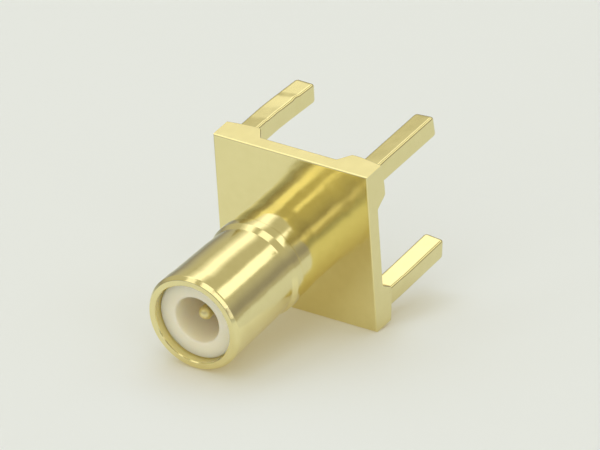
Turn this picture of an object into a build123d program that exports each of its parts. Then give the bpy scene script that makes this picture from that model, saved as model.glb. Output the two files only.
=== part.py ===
from build123d import *
import os

# Straight push-on coaxial jack for a printed circuit board, about 11.6 mm from leg tips to nose.
# Three pieces share one axis: an outer body turned and milled in one piece from square bar, a
# white insulator in its bore, and a slim centre contact through the insulator.
# Z is the mating axis, with the nose up. z = 0 is the plane where the pads meet the board.

# Square flange, with a standoff pad left at each corner of its underside
flange_side = 6.35
flange_thickness = 0.58
pad_height = 0.52
pad_side = 1.30
pad_flare = 0.32
corner_turn_radius = 3.85
corner_turn_height = 0.16
flange_edge_bevel = 0.04

# Four square solder legs, milled in one piece with the pads
leg_side = 0.76
leg_pitch = 5.08
leg_length = 3.80
leg_edge_radius = 0.07
leg_tip_bevel = 0.12

# Turned nose, from the flange up: plain barrel, retaining bead, snap groove, neck, flare, lip
barrel_radius = 1.725
barrel_front_radius = 1.765
barrel_taper_start = 0.90
barrel_length = 2.24
bead_radius = 1.83
bead_rise_length = 0.06
bead_length = 0.36
groove_radius = 1.74
groove_back_length = 0.26
groove_front_length = 0.46
neck_radius = 1.78
neck_length = 1.42
flare_length = 1.28
lip_radius = 1.85
lip_length = 0.46
lip_bevel = 0.12

# Stepped bore of the body, which the insulator seats in
bore_radius = 1.52
bore_shoulder_height = 0.30
rear_bore_radius = 1.12
fit_gap = 0.01

# Insulator, set back from the nose's face, with a well round the pin
insulator_recess = 0.31
insulator_edge_bevel = 0.08
well_radius = 0.89
well_depth = 3.30

# Centre contact: front pin, shank, retaining collar and solder tail
pin_radius = 0.25
pin_recess = 0.66
shank_radius = 0.45
collar_radius = 0.62
collar_length = 0.70
tail_radius = 0.38
tail_length = 3.40
tail_tip_bevel = 0.12

# Heights along the axis, worked out from the sizes above
flange_front = pad_height + flange_thickness
bead_start = flange_front + barrel_length
bead_back = bead_start + bead_rise_length
bead_front = bead_back + bead_length
groove_bottom = bead_front + groove_back_length
neck_back = groove_bottom + groove_front_length
neck_front = neck_back + neck_length
lip_back = neck_front + flare_length
lip_front = lip_back + lip_length
nose_face = lip_front + lip_bevel
bore_shoulder = flange_front + bore_shoulder_height
insulator_face = nose_face - insulator_recess
well_floor = insulator_face - well_depth
pin_tip = nose_face - pin_recess
collar_front = pad_height + collar_length

# Body: the blank is a square plate whose underside is crossed by two milled channels
channel_width = flange_side - 2 * pad_side
channel_floor_width = channel_width - 2 * pad_flare
flange_corner_radius = flange_side / 2**0.5

with BuildPart() as body:
    with BuildSketch():
        Rectangle(flange_side, flange_side)
    extrude(amount=flange_front)
    chamfer(body.edges().filter_by(Axis.Z), flange_edge_bevel)

    # The channels' walls slope, so each pad grows wider towards the flange
    for across in (Plane.XZ, Plane.YZ):
        with BuildSketch(across):
            with BuildLine():
                Polyline(
                    (-channel_width / 2, 0),
                    (-channel_floor_width / 2, pad_height),
                    (channel_floor_width / 2, pad_height),
                    (channel_width / 2, 0),
                    close=True,
                )
            make_face()
        extrude(amount=flange_side, both=True, mode=Mode.SUBTRACT)

    # The blank's back was turned, which slopes the outer corners of the pads
    with BuildSketch(Plane.XZ):
        with BuildLine():
            Polyline(
                (corner_turn_radius, 0),
                (flange_corner_radius, corner_turn_height),
                (flange_corner_radius, 0),
                close=True,
            )
        make_face()
    revolve(axis=Axis.Z, mode=Mode.SUBTRACT)

    # Legs, one under each pad, each a stack of sections from its bevelled tip up into the pad
    leg_sections = (
        (-leg_length, leg_side - 2 * leg_tip_bevel),
        (leg_tip_bevel - leg_length, leg_side),
        (corner_turn_height, leg_side),
    )
    for spot in GridLocations(leg_pitch, leg_pitch, 2, 2):
        for height, side in leg_sections:
            with BuildSketch(Plane(spot).offset(height)):
                RectangleRounded(side, side, leg_edge_radius)
        loft(ruled=True)

    # Nose
    with BuildSketch(Plane.XZ):
        with BuildLine():
            Polyline(
                (0, flange_front),
                (barrel_radius, flange_front),
                (barrel_radius, flange_front + barrel_taper_start),
                (barrel_front_radius, bead_start),
                (bead_radius, bead_back),
                (bead_radius, bead_front),
                (groove_radius, groove_bottom),
                (neck_radius, neck_back),
                (neck_radius, neck_front),
                (lip_radius, lip_back),
                (lip_radius, lip_front),
                (lip_radius - lip_bevel, nose_face),
                (0, nose_face),
                close=True,
            )
        make_face()
    revolve(axis=Axis.Z)

    # Stepped bore
    with BuildSketch(Plane.XY.offset(bore_shoulder)):
        Circle(bore_radius)
    extrude(amount=nose_face - bore_shoulder, mode=Mode.SUBTRACT)
    with BuildSketch():
        Circle(rear_bore_radius)
    extrude(amount=bore_shoulder, mode=Mode.SUBTRACT)

# Insulator: fills the bore down to the shoulder, and a thinner spigot reaches the flange's back
with BuildPart() as insulator:
    with BuildSketch(Plane.XZ):
        with BuildLine():
            Polyline(
                (collar_radius + fit_gap, pad_height),
                (rear_bore_radius - fit_gap, pad_height),
                (rear_bore_radius - fit_gap, bore_shoulder),
                (bore_radius - fit_gap, bore_shoulder),
                (bore_radius - fit_gap, insulator_face - insulator_edge_bevel),
                (bore_radius - fit_gap - insulator_edge_bevel, insulator_face),
                (well_radius, insulator_face),
                (well_radius, well_floor),
                (shank_radius + fit_gap, well_floor),
                (shank_radius + fit_gap, collar_front),
                (collar_radius + fit_gap, collar_front),
                close=True,
            )
        make_face()
    revolve(axis=Axis.Z)

# Centre contact: the collar stops it in the insulator, and the pin's tip is round
with BuildPart() as centre_contact:
    with BuildSketch(Plane.XZ):
        with BuildLine():
            Polyline(
                (0, pin_tip),
                (0, -tail_length),
                (tail_radius - tail_tip_bevel, -tail_length),
                (tail_radius, tail_tip_bevel - tail_length),
                (tail_radius, pad_height),
                (collar_radius, pad_height),
                (collar_radius, collar_front),
                (shank_radius, collar_front),
                (shank_radius, well_floor),
                (pin_radius, well_floor),
                (pin_radius, pin_tip - pin_radius),
            )
            RadiusArc((pin_radius, pin_tip - pin_radius), (0, pin_tip), -pin_radius)
        make_face()
    revolve(axis=Axis.Z)

body.part.label = "body"
insulator.part.label = "insulator"
centre_contact.part.label = "centre_contact"

os.makedirs("parts", exist_ok=True)
export_step(body.part, "parts/body.step")
export_step(insulator.part, "parts/insulator.step")
export_step(centre_contact.part, "parts/centre_contact.step")
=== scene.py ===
import math
import bmesh
import bpy
import numpy as np
from mathutils import Matrix, Vector


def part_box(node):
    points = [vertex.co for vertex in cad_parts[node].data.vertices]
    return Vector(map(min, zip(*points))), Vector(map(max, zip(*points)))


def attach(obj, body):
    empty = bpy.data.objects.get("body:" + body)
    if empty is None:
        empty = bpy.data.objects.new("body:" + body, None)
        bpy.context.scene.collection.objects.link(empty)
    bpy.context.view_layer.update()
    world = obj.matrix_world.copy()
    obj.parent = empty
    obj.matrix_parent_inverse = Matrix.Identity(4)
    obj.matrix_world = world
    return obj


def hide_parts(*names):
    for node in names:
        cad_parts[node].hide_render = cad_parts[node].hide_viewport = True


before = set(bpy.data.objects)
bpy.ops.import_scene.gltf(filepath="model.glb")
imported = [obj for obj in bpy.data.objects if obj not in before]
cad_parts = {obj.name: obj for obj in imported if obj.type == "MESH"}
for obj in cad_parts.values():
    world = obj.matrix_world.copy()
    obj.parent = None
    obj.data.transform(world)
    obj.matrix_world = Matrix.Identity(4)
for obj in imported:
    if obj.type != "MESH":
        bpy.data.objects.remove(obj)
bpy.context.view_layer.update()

# Body: the outer conductor, one piece of brass bar turned to a round nose and milled to a square
# flange with four standoff pads and four square legs, then plated with bright gold. Everything
# else sits in its bore, and its legs are soldered into the board.

body_low, body_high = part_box("body")
flange_side = body_high.x - body_low.x
half_side = flange_side / 2
leg_tip = body_low.z
nose_face = body_high.z

flange_front = 0.00110
pad_height = 0.00052
pad_side = 0.00130
pad_flare = 0.00032
corner_turn_radius = 0.00385
corner_turn_height = 0.00016
rim_edge = 0.00005
rim_wall_start = 1.3 * rim_edge

nose_root = 1.5 * pad_height
barrel_radius = 0.001725
barrel_swell_radius = 0.001772
barrel_front_radius = 0.001757
barrel_swell_start = 0.00090
barrel_swell_top = 0.00155
barrel_swell_round = 0.004
barrel_length = 0.00224
bead_radius = 0.00183
bead_rise_length = 0.00006
bead_length = 0.00036
groove_back_radius = 0.001745
groove_back_length = 0.00026
groove_round = 0.00018
lip_back = 0.00718
lip_radius = 0.00185
lip_front = lip_back + 0.00042
lip_bevel = 0.00010
lip_round = 0.00013
edge_break = 0.00004

# Radius and height of the neck, which widens gently from the groove's floor to the lip
neck_curve = [
    (0.0017465, 0.00410),
    (0.0017510, 0.00420),
    (0.0017583, 0.00435),
    (0.0017700, 0.00460),
    (0.0017785, 0.00480),
    (0.0017880, 0.00510),
    (0.0017945, 0.00540),
    (0.0018070, 0.00600),
    (0.0018220, 0.00660),
]

bore_radius = 0.00152
bore_shoulder = flange_front + 0.00030
bore_edge = 0.00003
rear_bore_radius = 0.00112

leg_side = 0.00076
leg_pitch = 0.00508
leg_corner = 0.00009
leg_tip_round = 0.00022
leg_root_fillet = 0.00006
leg_ring_spacing = 0.00004

# How each leg departs from straight, in millimetres and degrees: depth below the pads' seat, twist,
# and shift in x and in y
leg_bends = {
    (-1, -1): [(0, 3, 0, 0), (0.5, 4.6, 0, 0), (3.8, 4.6, 0, 0)],
    (1, -1): [
        (0, 1, 0, 0), (0.25, 4.5, 0, 0), (0.80, 4.5, 0, 0), (0.95, 1.5, 0, 0), (1.5, 1.5, 0, 0),
        (1.9, -0.5, -0.02, 0), (2.42, -0.5, -0.05, 0), (2.56, 3.6, -0.06, 0), (2.66, 3.6, -0.07, 0),
        (2.82, -1, -0.08, 0), (3.8, -1, -0.13, 0.02),
    ],
    (-1, 1): [(0, -3, 0, 0), (1.15, -4, 0, 0), (1.25, -6, 0, -0.002), (3.8, -6, -0.03, -0.10)],
    (1, 1): [(0, 0, 0, 0), (3.8, -1, 0, 0.02)],
}


def rounded_outline(corners, steps=6):
    """Points of a closed outline, from corners given as two coordinates and a rounding. Each corner
    becomes an arc of that radius that touches both its sides at the same distance from the corner,
    or of a smaller one where a side is short. A rounding of 0 keeps the corner."""
    points = []
    corners = np.asarray(corners, float)
    places, roundings = corners[:, :2], corners[:, 2]
    for before, corner, after, radius in zip(
        np.roll(places, 1, 0), places, np.roll(places, -1, 0), roundings
    ):
        back, ahead = before - corner, after - corner
        back_length, ahead_length = np.linalg.norm(back), np.linalg.norm(ahead)
        back, ahead = back / back_length, ahead / ahead_length
        half_angle = math.acos(np.clip(back @ ahead, -1, 1)) / 2
        reach = radius / math.tan(half_angle)
        if reach < 1e-9:
            points.append(corner[None])
            continue
        reach = min(reach, 0.45 * back_length, 0.45 * ahead_length)
        radius = reach * math.tan(half_angle)
        middle = (back + ahead) / np.linalg.norm(back + ahead)
        centre = corner + middle * radius / math.sin(half_angle)
        start, end = corner + back * reach - centre, corner + ahead * reach - centre
        sweep = math.pi - 2 * half_angle
        t = np.linspace(0, 1, steps + 1)[:, None]
        arc = (np.sin((1 - t) * sweep) * start + np.sin(t * sweep) * end) / math.sin(sweep)
        points.append(centre + arc)
    return np.concatenate(points)


def curve_through(points, steps=6):
    """Points along a smooth curve through the given ones, which heads at each from the one before
    to the one after: a cubic between each pair, with those directions at its ends."""
    points = np.asarray(points, float)
    ends = np.vstack([2 * points[0] - points[1], points, 2 * points[-1] - points[-2]])
    before, start, finish, after = (ends[k : k + len(points) - 1, None] for k in range(4))
    t = np.linspace(0, 1, steps, endpoint=False)[None, :, None]
    leave, arrive = (finish - before) / 2, (after - start) / 2
    curve = (
        (2 * t**3 - 3 * t**2 + 1) * start
        + (t**3 - 2 * t**2 + t) * leave
        + (3 * t**2 - 2 * t**3) * finish
        + (t**3 - t**2) * arrive
    )
    return np.vstack([curve.reshape(-1, points.shape[1]), points[-1:]])


def tidied(mesh, merge_distance=2e-8):
    """The same mesh with meeting points merged and every face pointing outwards."""
    work = bmesh.new()
    work.from_mesh(mesh)
    bmesh.ops.remove_doubles(work, verts=work.verts, dist=merge_distance)
    bmesh.ops.dissolve_degenerate(work, edges=work.edges, dist=merge_distance)
    bmesh.ops.recalc_face_normals(work, faces=work.faces)
    work.to_mesh(mesh)
    work.free()
    return mesh


def grid_mesh(name, points, close_rows=False, close_columns=False):
    """Mesh over a grid of points, rows by columns, with a face between each four neighbours.
    Closing a direction joins its last line to its first. Points that meet are merged, so a row of
    equal points becomes a pole."""
    rows, columns = points.shape[:2]
    index = np.arange(rows * columns).reshape(rows, columns)
    if close_rows:
        index = np.vstack([index, index[:1]])
    if close_columns:
        index = np.hstack([index, index[:, :1]])
    quads = np.stack([index[:-1, :-1], index[:-1, 1:], index[1:, 1:], index[1:, :-1]], -1)
    mesh = bpy.data.meshes.new(name)
    mesh.from_pydata(points.reshape(-1, 3), [], quads.reshape(-1, 4).tolist())
    return tidied(mesh)


def turned(name, outline, segments=192):
    """Surface of revolution: each point (radius, height) of the closed outline is carried round Z,
    x = radius cos a, y = radius sin a."""
    turn = np.linspace(0, 2 * math.pi, segments, endpoint=False)
    radius, height = outline[:, :1], outline[:, 1:]
    points = np.stack([radius * np.cos(turn), radius * np.sin(turn), height + 0 * turn], -1)
    return grid_mesh(name, points, close_rows=True, close_columns=True)


def placed(mesh):
    """An object at the origin that shows the mesh and has its name."""
    piece = bpy.data.objects.new(mesh.name, mesh)
    bpy.context.scene.collection.objects.link(piece)
    return piece


def nose_blank():
    """The solid nose: a turned outline that starts inside the flange."""
    bead_start = flange_front + barrel_length
    bead_back = bead_start + bead_rise_length
    bead_front = bead_back + bead_length
    groove_bottom = bead_front + groove_back_length
    neck_line = curve_through([(groove_back_radius, groove_bottom), *neck_curve, (lip_radius, lip_back)])
    corners = [
        (0, nose_root, 0),
        (barrel_radius, nose_root, 0),
        (barrel_radius, flange_front + barrel_swell_start, barrel_swell_round),
        (barrel_swell_radius, flange_front + barrel_swell_top, barrel_swell_round),
        (barrel_front_radius, bead_start, edge_break),
        (bead_radius, bead_back, edge_break),
        (bead_radius, bead_front, edge_break),
        (*neck_line[0], groove_round),
        *((*point, 0) for point in neck_line[1:]),
        (lip_radius, lip_front, lip_round),
        (lip_radius - lip_bevel, nose_face, edge_break),
        (0, nose_face, 0),
    ]
    return placed(turned("nose_blank", rounded_outline(corners)))


def bore_cutter():
    """What the stepped bore takes away, with a broken edge at its mouth: a turned outline."""
    corners = [
        (0, leg_tip, 0),
        (rear_bore_radius, leg_tip, 0),
        (rear_bore_radius, bore_shoulder, 0),
        (bore_radius, bore_shoulder, 0),
        (bore_radius, nose_face - bore_edge, 0),
        (bore_radius + bore_edge, nose_face, 0),
        (bore_radius + bore_edge, nose_face + bore_edge, 0),
        (0, nose_face + bore_edge, 0),
    ]
    return placed(turned("bore_cutter", rounded_outline(corners)))


def smooth_larger(a, b, width):
    """The larger of two heights, with the crease between them blended over about that width: half
    of their sum and of the root of their squared difference plus the squared width."""
    return 0.5 * (a + b + np.sqrt((a - b) ** 2 + width**2))


def plate_lines():
    """Grid lines across the plate from side to side: few over the flat floor, many over the sloping
    wall and its two bends, and the last ones beside the rim."""
    wall_out = half_side - pad_side
    wall_in = half_side - pad_side - pad_flare
    outward = np.concatenate(
        [
            np.linspace(0, wall_in - 3 * rim_edge, 9),
            np.linspace(wall_in - 2 * rim_edge, wall_out + 2 * rim_edge, 21),
            np.linspace(wall_out + 3 * rim_edge, half_side - 2.2 * rim_edge, 18),
            [half_side - 1.4 * rim_edge, half_side - rim_edge],
        ]
    )
    return np.concatenate([-outward[:0:-1], outward])


def underside(x, y):
    """Height of the flange's underside: the pads' seat at 0, up a sloping wall to the floor of the
    two crossing channels, with the outer corners sloped as the turned back leaves them. Creases
    are blended over two to six hundredths of a millimetre."""
    nearer = -smooth_larger(-np.abs(x), -np.abs(y), 0.00006)
    rise = (half_side - pad_side - nearer) / pad_flare * pad_height
    above_seat = smooth_larger(rise, 0 * rise, 0.00003)
    channel = pad_height - smooth_larger(pad_height - above_seat, 0 * rise, 0.00003)
    slope = corner_turn_height / (half_side * math.sqrt(2) - corner_turn_radius)
    corner = (np.hypot(x, y) - corner_turn_radius) * slope
    return channel + smooth_larger(corner, 0 * corner, 0.00002)


def rim_of(grid):
    """The grid's outermost points in order round it."""
    return np.concatenate([grid[:-1, 0], grid[-1, :-1], grid[:0:-1, -1], grid[0, :0:-1]])


def pushed_out(rim, inset, height):
    """The rim moved outwards to that inset from the flange's sides, and up or down by height."""
    scale = (half_side - inset) / (half_side - rim_edge)
    return np.column_stack([rim[:, :2] * scale, rim[:, 2] + height])


def joined(pieces):
    """One object made of several that touch, with their meeting points merged."""
    with bpy.context.temp_override(active_object=pieces[0], selected_editable_objects=pieces):
        bpy.ops.object.join()
    tidied(pieces[0].data, 2e-7)
    return pieces[0]


def plate_blank():
    """The flange with its pads: two grids of heights, the underside and the front, joined round
    their rims by a wall whose two edges are quarter arcs."""
    lines = plate_lines()
    x, y = np.meshgrid(lines, lines, indexing="ij")
    low_grid = np.stack([x, y, underside(x, y)], -1)
    high_grid = np.stack([x, y, flange_front + 0 * x], -1)
    low_rim, high_rim = rim_of(low_grid), rim_of(high_grid)
    arc = [
        (rim_edge * (1 - math.sin(a)), rim_edge * (1 - math.cos(a)))
        for a in np.radians([15, 30, 45, 60, 75, 90])
    ]
    rings = [low_rim]
    rings += [pushed_out(low_rim, inset, height) for inset, height in arc]
    rings += [pushed_out(low_rim, 0, rim_wall_start), pushed_out(high_rim, 0, -rim_wall_start)]
    rings += [pushed_out(high_rim, inset, -height) for inset, height in arc[::-1]]
    rings += [high_rim]
    wall = placed(grid_mesh("plate_wall", np.stack(rings), close_columns=True))
    covers = [placed(grid_mesh("plate_cover", grid)) for grid in (low_grid, high_grid)]
    return joined([wall, *covers])


def leg_blank(centre_x, centre_y, bends):
    """A square leg with rounded corners: the section is carried down from inside the pad to the
    tip. It widens into the pad in a small concave arc, draws in at the tip in a convex one, and is
    turned and shifted a little on the way, by amounts read between the listed depths."""
    half = leg_side / 2
    corners = [(half, half), (-half, half), (-half, -half), (half, -half)]
    arcs = rounded_outline([(*corner, leg_corner) for corner in corners], 5).reshape(4, 6, 2)

    # A point on each flat just beside every corner keeps the flats flat where they are shaded
    share_of_flat = 0.06
    beside = (np.roll(arcs[:, 0], -1, 0) - arcs[:, -1]) * share_of_flat
    section = np.concatenate(
        [arcs[:, :1] - np.roll(beside, 1, 0)[:, None], arcs, arcs[:, -1:] + beside[:, None]], 1
    ).reshape(-1, 2)

    arc = np.linspace(0, math.pi / 2, 7)
    shank_start = 0.0001
    shank_end = -leg_tip - leg_tip_round - 0.00005
    shank = np.arange(shank_start, shank_end, leg_ring_spacing)
    heights = np.concatenate(
        [
            [pad_height * 0.9, corner_turn_height],
            -leg_root_fillet * (1 - np.cos(arc)),
            -shank,
            [leg_tip + leg_tip_round * 1.2],
            leg_tip + leg_tip_round * (1 - np.sin(arc)),
            [leg_tip],
        ]
    )
    draws = np.concatenate(
        [
            [-leg_root_fillet] * 2,
            -leg_root_fillet * (1 - np.sin(arc)),
            0 * shank,
            [0],
            leg_tip_round * (1 - np.cos(arc)),
            [half],
        ]
    )
    depths, *amounts = np.array(bends, float).T
    depth = -heights * 1000
    twist, shift_x, shift_y = (np.interp(depth, depths, amount)[:, None] for amount in amounts)
    turn = np.radians(twist)
    scale = (1 - draws / half)[:, None]
    x, y = section[:, 0] * scale, section[:, 1] * scale
    rows = np.stack(
        [
            centre_x + shift_x / 1000 + x * np.cos(turn) - y * np.sin(turn),
            centre_y + shift_y / 1000 + x * np.sin(turn) + y * np.cos(turn),
            heights[:, None] + 0 * x,
        ],
        -1,
    )
    top = rows[:1].copy()
    top[..., :2] = centre_x, centre_y
    return placed(grid_mesh("leg_blank", np.concatenate([top, rows]), close_columns=True))


def combined(target, other, operation):
    """The target after adding or cutting away the other piece, which is then removed."""
    step = target.modifiers.new(operation, "BOOLEAN")
    step.operation, step.object, step.solver = operation, other, "EXACT"
    bpy.context.view_layer.update()
    result = target.evaluated_get(bpy.context.evaluated_depsgraph_get())
    mesh = bpy.data.meshes.new_from_object(result)
    target.modifiers.clear()
    target.data = mesh
    bpy.data.objects.remove(other)
    return target


def smoothly_shaded(piece, sharp_turn=math.radians(32)):
    """Smooth shading, but for edges where the surface turns by more than that angle."""
    piece.data.shade_smooth()
    piece.data.set_sharp_from_angle(angle=sharp_turn)


def evenly_shaded(piece):
    """Smooth shading led by the large faces, so that the flats beside small edges stay flat."""
    smoothly_shaded(piece)
    even_normals = piece.modifiers.new("even_normals", "WEIGHTED_NORMAL")
    even_normals.keep_sharp = True


nose = nose_blank()
bore = bore_cutter()
body = plate_blank()
legs = [
    leg_blank(side_x * leg_pitch / 2, side_y * leg_pitch / 2, bends)
    for (side_x, side_y), bends in leg_bends.items()
]
for added in (*legs, nose):
    body = combined(body, added, "UNION")
body = combined(body, bore, "DIFFERENCE")
body.name = "gilded_body"

# The cuts leave slivers under a ten thousandth of a millimetre wide, which are merged away
sliver_size = 1e-7
tidied(body.data, sliver_size)
evenly_shaded(body)


class Wire:
    """A socket whose arithmetic adds Math nodes, so that shader maths reads as an expression."""

    def __init__(self, tree, socket):
        self.tree, self.socket = tree, socket

    def maths(self, operation, *values):
        """Adds a Math node over the values."""
        return self.node("ShaderNodeMath", {"operation": operation}, dict(enumerate(values)))

    def node(self, kind, settings, values, output=0):
        """Adds a node of that kind, sets it up, fills its sockets and gives one output."""
        node = self.tree.nodes.new(kind)
        for key, value in settings.items():
            if key == "stops":
                ramp = node.color_ramp
                while len(ramp.elements) < len(value):
                    ramp.elements.new(0.5)
                for element, (place, colour) in zip(ramp.elements, value):
                    element.position, element.color = place, (*colour, 1)
            else:
                setattr(node, key, value)
        for key, value in values.items():
            if isinstance(value, Wire):
                self.tree.links.new(value.socket, node.inputs[key])
            else:
                node.inputs[key].default_value = value
        return Wire(self.tree, node.outputs[output])

    def __add__(self, other):
        return self.maths("ADD", self, other)

    def __sub__(self, other):
        return self.maths("SUBTRACT", self, other)

    def __rsub__(self, other):
        return self.maths("SUBTRACT", other, self)

    def __mul__(self, other):
        return self.maths("MULTIPLY", self, other)

    def __gt__(self, other):
        return self.maths("GREATER_THAN", self, other)

    __radd__, __rmul__ = __add__, __mul__


def new_material(name):
    """An empty node material, and the Object coordinates that its nodes start from."""
    material = bpy.data.materials.new(name)
    material.use_nodes = True
    material.node_tree.nodes.clear()
    coordinates = material.node_tree.nodes.new("ShaderNodeTexCoord")
    return material, Wire(material.node_tree, coordinates.outputs["Object"])


def with_surface(material, shader):
    """The material once that shader is its surface."""
    output = shader.tree.nodes.new("ShaderNodeOutputMaterial")
    shader.tree.links.new(shader.socket, output.inputs["Surface"])
    return material


def blended(wire, factor, first, second, way="MIX"):
    """The colour that lies between two by the factor, or another blend of them."""
    first, second = (c if isinstance(c, Wire) else (*c, 1) for c in (first, second))
    return wire.node(
        "ShaderNodeMix",
        {"data_type": "RGBA", "blend_type": way},
        {"Factor": factor, "A": first, "B": second},
        2,
    )


def part_of(place, axis):
    """One coordinate of the place."""
    return place.node("ShaderNodeSeparateXYZ", {}, {"Vector": place}, axis)


def stretched(place, factors):
    """The place with each coordinate multiplied by its factor."""
    return place.node("ShaderNodeVectorMath", {"operation": "MULTIPLY"}, {0: place, 1: factors})


def noise(place, scale, detail):
    """Smooth noise between 0 and 1, with about that many waves to the metre."""
    return place.node("ShaderNodeTexNoise", {}, {"Vector": place, "Scale": scale, "Detail": detail})


def lathe_rings(place, scale, detail):
    """Noise that changes with the distance from the axis and with height, but not round the axis."""
    flat = stretched(place, (1, 1, 0))
    radius = place.node("ShaderNodeVectorMath", {"operation": "LENGTH"}, {0: flat}, "Value")
    across = place.node("ShaderNodeCombineXYZ", {}, {"X": radius, "Y": part_of(place, "Z")})
    return noise(across, scale, detail)


def relief(microns):
    """The surface's normal over those heights, in thousandths of a millimetre."""
    return microns.node("ShaderNodeBump", {}, {"Strength": 1.0, "Distance": 0.000001, "Height": microns})


gold_shade = (0.87, 0.78, 0.39)
gold_light = (0.93, 0.84, 0.45)
turned_from = flange_front - 0.00003


def gold_plating(name, least_rough):
    """Gold over brass. The turned faces carry the lathe's fine rings and the milled ones the
    cutter's lines along the legs, with a soft waviness and cloudy patches over both."""
    material, place = new_material(name)
    was_turned = part_of(place, "Z") > turned_from
    ring_marks = lathe_rings(place, scale=16000.0, detail=3.0)
    mill_marks = noise(stretched(place, (1, 1, 0.05)), scale=12000.0, detail=2.0)
    marks = ring_marks * was_turned + mill_marks * (1 - was_turned)
    wave = noise(place, scale=1100.0, detail=1.5)
    patch = noise(place, scale=2600.0, detail=5.0)
    shader = place.node(
        "ShaderNodeBsdfPrincipled",
        {},
        {
            "Base Color": blended(place, patch, gold_shade, gold_light),
            "Metallic": 1.0,
            "Roughness": least_rough + 0.09 * patch,
            "Normal": relief(0.35 * marks + 10.0 * wave),
        },
    )
    return with_surface(material, shader)


body.data.materials.clear()
body.data.materials.append(gold_plating("gold_plating", 0.10))
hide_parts("body")
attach(body, "root")

# Insulator: a turned bush of white fluoropolymer, pressed into the body's bore a little short of
# the nose's face. Its front has a round well for the plug's socket, and it holds the contact.

insulator_low, insulator_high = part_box("insulator")
insulator_radius = insulator_high.x
slip = 0.00001
spigot_radius = rear_bore_radius - slip
spigot_edge = 0.00003
insulator_edge = 0.00008
well_radius = 0.00089
well_edge = 0.00006
well_floor = insulator_high.z - 0.00330
well_floor_round = 0.00010
shank_radius = 0.00045
collar_radius = 0.00062
collar_front = pad_height + 0.00070

insulator_outline = rounded_outline(
    [
        (collar_radius + slip, insulator_low.z, 0),
        (spigot_radius, insulator_low.z, spigot_edge),
        (spigot_radius, bore_shoulder, 0),
        (insulator_radius, bore_shoulder, 0),
        (insulator_radius, insulator_high.z, insulator_edge),
        (well_radius, insulator_high.z, well_edge),
        (well_radius, well_floor, well_floor_round),
        (shank_radius + slip, well_floor, 0),
        (shank_radius + slip, collar_front, 0),
        (collar_radius + slip, collar_front, 0),
    ]
)
insulator = placed(turned("white_insulator", insulator_outline))
evenly_shaded(insulator)

polymer_shade = (0.975, 0.845, 0.65)
polymer_light = (0.99, 0.88, 0.70)


def white_polymer(name):
    """Waxy white fluoropolymer: slightly translucent, with faint turning marks and cloudiness."""
    material, place = new_material(name)
    cloud = noise(place, scale=1800.0, detail=4.0)
    marks = lathe_rings(place, scale=14000.0, detail=2.0)
    shader = place.node(
        "ShaderNodeBsdfPrincipled",
        {},
        {
            "Base Color": blended(place, cloud, polymer_shade, polymer_light),
            "Roughness": 0.38 + 0.14 * cloud,
            "Normal": relief(1.5 * marks + 4.0 * cloud),
            "Subsurface Weight": 1.0,
            "Subsurface Radius": (1.0, 0.9, 0.7),
            "Subsurface Scale": 0.0009,
        },
    )
    return with_surface(material, shader)


insulator.data.materials.append(white_polymer("white_polymer"))
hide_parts("insulator")
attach(insulator, "root")

# Centre contact: a turned pin with a round tip, gilded like the body, pushed into the insulator
# up to its collar. Its tail comes out under the flange as the fifth solder leg.

contact_low, contact_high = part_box("centre_contact")
pin_radius = 0.00025
tail_radius = 0.00038
tail_round = 0.00012

stem_outline = rounded_outline(
    [
        (0, contact_low.z, 0),
        (tail_radius, contact_low.z, tail_round),
        (tail_radius, pad_height, 0),
        (collar_radius, pad_height, 0),
        (collar_radius, collar_front, 0),
        (shank_radius, collar_front, 0),
        (shank_radius, well_floor, 0),
        (pin_radius, well_floor, 0),
    ],
    10,
)
dome = np.linspace(0, math.pi / 2, 17)[:, None]
tip_outline = np.hstack([np.cos(dome), np.sin(dome) - 1]) * pin_radius + [0, contact_high.z]
tip_outline[-1, 0] = 0
contact = placed(turned("gilded_contact", np.vstack([stem_outline, tip_outline]), 96))
smoothly_shaded(contact)
contact.data.materials.append(gold_plating("contact_plating", 0.30))
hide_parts("centre_contact")
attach(contact, "root")

# Bench: the plain pale surface that the jack lies on, under the flange's edge and the lip of the
# nose. It is seen from the jack's side only. Its faint glow is painted light, which makes its shadow
# light and warm. What the gold and the matt surfaces see of it, though not the camera, carries
# painted shade: darker further out towards +X and ahead of the nose, and slightly darker close to
# the jack and behind its flange.

touch_flange = Vector((0, half_side, flange_front))
touch_lip = Vector((0, lip_radius, lip_front))
along_nose = (touch_lip - touch_flange).normalized()
bench_up = Vector((1, 0, 0)).cross(along_nose).normalized()
bench_size = 0.4
bench_gap = 0.000004
# The bluish paint and the warm glow keep the open bench neutral; the glow is painted light that lifts the
# bench's shadow and warms it
bench_paint = (0.55, 0.64, 0.72)
bench_painted_glow = (0.237, 0.168, 0.072)
# Painted shade for all but the camera: the bench's colour is multiplied by these steps, read at the greater
# of its distance towards +X and its share of the distance ahead, over the reach
painted_shade_reach = 0.030
painted_shade_sideways_shift = 0.0005
painted_shade_forward_share = 0.72
painted_shade_steps = [
    (0.00, (0.88, 0.88, 0.88)),
    (0.02, (0.89, 0.89, 0.89)),
    (0.05, (1, 1, 1)),
    (0.27, (0.97, 0.97, 0.97)),
    (0.45, (0.58, 0.58, 0.60)),
    (1.00, (0.45, 0.46, 0.48)),
]


def bench_mesh():
    """A flat square that faces bench_up: its middle plus and minus half a side each way."""
    across, along = Vector((1, 0, 0)) * bench_size / 2, along_nose * bench_size / 2
    middle = touch_flange - bench_up * bench_gap
    near, far = middle - along, middle + along
    corners = [near - across, near + across, far + across, far - across]
    mesh = bpy.data.meshes.new("bench")
    mesh.from_pydata([tuple(corner) for corner in corners], [], [(0, 1, 2, 3)])
    return mesh


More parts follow.
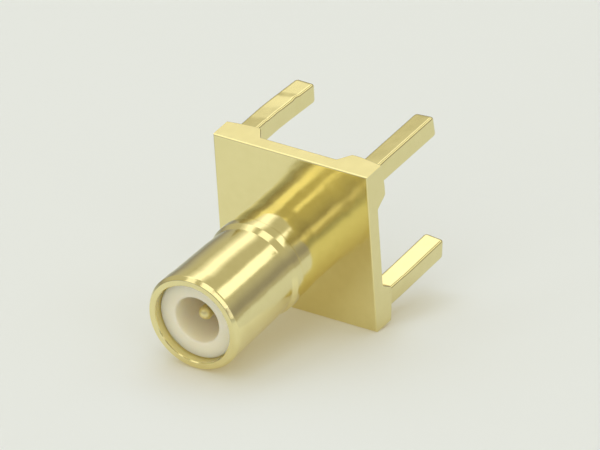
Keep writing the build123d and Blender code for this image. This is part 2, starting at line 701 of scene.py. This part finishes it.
def paint_with_painted_light(name):
    """Matt paint and a faint glow that is painted light, both multiplied by the painted shade, which
    the camera doesn't see. The painted shade follows the distance to the side or ahead, whichever
    is more. The camera looks through the bench from behind."""
    material, place = new_material(name)
    behind = place.node("ShaderNodeNewGeometry", {}, {}, "Backfacing")
    seen = place.node("ShaderNodeLightPath", {}, {}, "Is Camera Ray")
    # Painted shade by distance, which the camera doesn't see
    sideways = part_of(place, "X") + painted_shade_sideways_shift
    outward = place.maths("MAXIMUM", sideways, part_of(place, "Z") * painted_shade_forward_share)
    painted_shade_ramp = place.node("ShaderNodeValToRGB", {"stops": painted_shade_steps}, {0: outward * (1 / painted_shade_reach)})
    painted_shade = blended(place, seen, painted_shade_ramp, (1, 1, 1))
    paint, glow = (blended(place, 1.0, painted_shade, c, "MULTIPLY") for c in (bench_paint, bench_painted_glow))
    matt = place.node("ShaderNodeBsdfDiffuse", {}, {"Color": paint})
    # The glow is painted light
    painted_lift = place.node("ShaderNodeEmission", {}, {"Color": glow, "Strength": 1.0})
    surface = place.node("ShaderNodeAddShader", {}, {0: matt, 1: painted_lift})
    clear = place.node("ShaderNodeBsdfTransparent", {}, {})
    shader = place.node("ShaderNodeMixShader", {}, {0: behind * seen, 1: surface, 2: clear})
    return with_surface(material, shader)


bench = placed(bench_mesh())
bench.data.materials.append(paint_with_painted_light("pale_bench"))

# Studio light: soft panels, whose reflections are the bright strips along the nose, two large soft
# lights that only the matt surfaces show, and an even, dimmer room round them.


def soft_panel(
    name, azimuth, elevation, width, height, radiance, lean=0, distance=1.0, colour=(1, 1, 1), mirrored=True
):
    """An area light in that direction from the jack, facing it and leaning to one side by degrees.
    Its power is its surface's radiance times its area times pi."""
    azimuth, elevation, lean = (math.radians(angle) for angle in (azimuth, elevation, lean))
    direction = Vector(
        (
            math.cos(azimuth) * math.cos(elevation),
            math.sin(azimuth) * math.cos(elevation),
            math.sin(elevation),
        )
    )
    right = Vector((0, 0, 1)).cross(direction).normalized()
    up = direction.cross(right)
    side = right * math.cos(lean) - up * math.sin(lean)
    top = up * math.cos(lean) + right * math.sin(lean)
    light = bpy.data.lights.new(name, "AREA")
    light.shape, light.size, light.size_y = "RECTANGLE", width, height
    light.energy = radiance * math.pi * width * height
    light.color = colour
    panel = bpy.data.objects.new(name, light)
    spot = direction * distance
    panel.matrix_world = Matrix(
        [[side[i], top[i], direction[i], spot[i]] for i in range(3)] + [[0, 0, 0, 1]]
    )
    panel.visible_camera = False
    panel.visible_glossy = mirrored
    bpy.context.scene.collection.objects.link(panel)


# Each panel: azimuth and elevation in degrees, width and height in metres, and radiance
soft_panel("tall_panel_wide", -59.5, -30, 0.56, 1.24, 0.20, distance=1.03)
soft_panel("tall_panel_middle", -61, -30, 0.40, 1.24, 0.24)
soft_panel("tall_panel_core", -62, -30, 0.24, 1.24, 0.40, distance=0.97)
soft_panel("tall_panel_high", -57, 30, 0.31, 1.16, 0.66, lean=20)
soft_panel("low_panel_wide", -126, -46, 0.32, 0.57, 0.45)
soft_panel("low_panel_core", -126.5, -46, 0.27, 0.52, 0.42, distance=0.97)
soft_panel("top_panel", -98, 6, 0.46, 1.05, 0.75)
soft_panel("top_panel_end", -92, 42, 0.14, 0.20, 0.70)
soft_panel("small_panel", -154, 44, 0.15, 0.30, 0.56)
soft_panel("front_panel", -133, 20, 0.68, 0.28, 0.75)
soft_panel("front_panel_end", -163, 17, 0.42, 0.16, 0.60)

cool_light = (0.65, 0.75, 1.0)
warm_light = (1.0, 0.93, 0.82)
soft_panel("overhead_light", -66, -28, 1.3, 1.3, 0.98, distance=1.2, colour=cool_light, mirrored=False)
soft_panel("front_fill", -120, 62, 0.9, 0.6, 1.75, colour=warm_light, mirrored=False)

# The room's light by how far a direction rises above the bench, tipped a little towards +X
room_up = bench_up + Vector((0.15, 0, 0))
horizon_place = 0.12
room_steps = [
    (0.00, (0.48, 0.455, 0.37)),
    (0.11, (0.43, 0.405, 0.34)),
    (0.18, (0.31, 0.29, 0.27)),
    (0.30, (0.32, 0.30, 0.27)),
    (0.48, (0.47, 0.45, 0.37)),
    (0.64, (0.54, 0.51, 0.38)),
]
backdrop = (0.76, 0.77, 0.74)

room = bpy.data.worlds.new("room")
bpy.context.scene.world = room
room.use_nodes = True
background = room.node_tree.nodes["Background"]
coordinates = room.node_tree.nodes.new("ShaderNodeTexCoord")
direction = Wire(room.node_tree, coordinates.outputs["Generated"])
rise = direction.node(
    "ShaderNodeVectorMath", {"operation": "DOT_PRODUCT"}, {0: direction, 1: tuple(room_up)}, "Value"
)
lit = direction.node("ShaderNodeValToRGB", {"stops": room_steps}, {0: rise + horizon_place})
seen = direction.node("ShaderNodeLightPath", {}, {}, "Is Camera Ray")
shade = blended(direction, seen, lit, backdrop)
room.node_tree.links.new(shade.socket, background.inputs["Color"])

# Camera: far away with a long lens, as the picture was taken. Its angles are turns from looking
# level along +Y with Z up: round Z, then down, then clockwise round its own line of sight.

view_azimuth = math.radians(-42.04)
view_elevation = math.radians(44.36)
view_roll = math.radians(131.63)
view_distance = 0.6937
film_width = 36
lens_length = 1195.4
aim_right, aim_up = 0.000177, 0.000285

backward = Vector(
    (
        math.sin(view_azimuth) * math.cos(view_elevation),
        -math.cos(view_azimuth) * math.cos(view_elevation),
        math.sin(view_elevation),
    )
)
level_right = (-backward).cross(Vector((0, 0, 1))).normalized()
level_up = level_right.cross(-backward)
view_up = level_up * math.cos(view_roll) + level_right * math.sin(view_roll)
view_right = (-backward).cross(view_up)
camera_data = bpy.data.cameras.new("camera")
camera_data.sensor_width = film_width
camera_data.lens = lens_length
camera = bpy.data.objects.new("camera", camera_data)
aim = Vector((0, 0, flange_front)) + view_right * aim_right + view_up * aim_up
spot = aim + backward * view_distance
camera.matrix_world = Matrix(
    [[view_right[i], view_up[i], backward[i], spot[i]] for i in range(3)] + [[0, 0, 0, 1]]
)
bpy.context.scene.collection.objects.link(camera)
bpy.context.scene.camera = camera
bpy.context.scene.view_settings.view_transform = "Standard"
